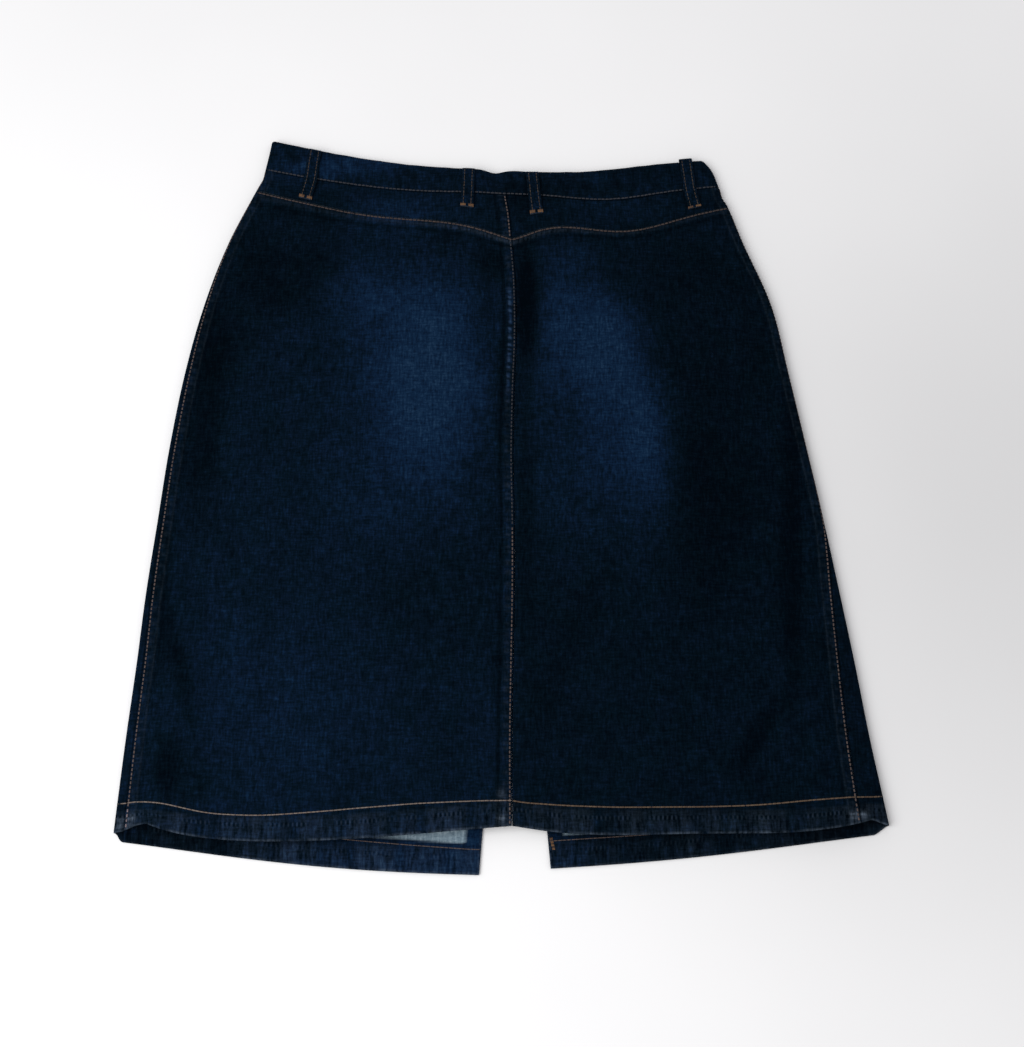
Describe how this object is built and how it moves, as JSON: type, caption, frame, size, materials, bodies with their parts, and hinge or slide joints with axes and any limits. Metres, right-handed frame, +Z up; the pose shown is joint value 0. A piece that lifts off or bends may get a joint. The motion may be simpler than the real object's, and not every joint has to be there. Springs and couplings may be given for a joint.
{
  "type": "denim skirt",
  "caption": "Knee-length A-line denim skirt laid flat on its front, with a V-shaped back yoke, belt loops, an open front slit and a turned hem.",
  "frame": {"origin": "on the surface the skirt lies on, below the middle of its outline", "axes": "+X across the skirt towards the wearer's right, +Y from the hem to the waist, +Z up, away from the surface, on the side of the skirt's back"},
  "size_m": [0.622, 0.6734, 0.017],
  "materials": {
    "back_panel_left": "dark indigo denim, softly faded over the seat, twill weave",
    "back_panel_right": "dark indigo denim, softly faded over the seat, twill weave",
    "back_yoke_left": "dark indigo denim, softly faded over the seat, twill weave",
    "back_yoke_right": "dark indigo denim, softly faded over the seat, twill weave",
    "front_panel_left": "dark indigo denim, softly faded over the seat, twill weave",
    "front_panel_right": "dark indigo denim, softly faded over the seat, twill weave",
    "waistband": "dark indigo denim, softly faded over the seat, twill weave",
    "belt_loop_back_far_left": "dark indigo denim, softly faded over the seat, twill weave",
    "belt_loop_back_left": "dark indigo denim, softly faded over the seat, twill weave",
    "belt_loop_back_right": "dark indigo denim, softly faded over the seat, twill weave",
    "belt_loop_back_far_right": "dark indigo denim, softly faded over the seat, twill weave",
    "belt_loop_front_left": "dark indigo denim, softly faded over the seat, twill weave",
    "belt_loop_front_right": "dark indigo denim, softly faded over the seat, twill weave",
    "waist_button": "antiqued copper-coloured shank button, softly worn",
    "zip_tape": "woven navy zip tape",
    "zip_slider": "plain slider and tab of a metal zip"
  },
  "bodies": {
    "root": {"back_panel_left": "back_panel_left", "back_panel_right": "back_panel_right", "back_yoke_left": "back_yoke_left", "back_yoke_right": "back_yoke_right", "front_panel_left": "front_panel_left", "front_panel_right": "front_panel_right", "waistband": "waistband", "belt_loop_back_far_left": "belt_loop_back_far_left", "belt_loop_back_left": "belt_loop_back_left", "belt_loop_back_right": "belt_loop_back_right", "belt_loop_back_far_right": "belt_loop_back_far_right", "belt_loop_front_left": "belt_loop_front_left", "belt_loop_front_right": "belt_loop_front_right", "waist_button": "waist_button", "zip_tape": "zip_tape", "zip_slider": "zip_slider"}
  },
  "joints": []
}
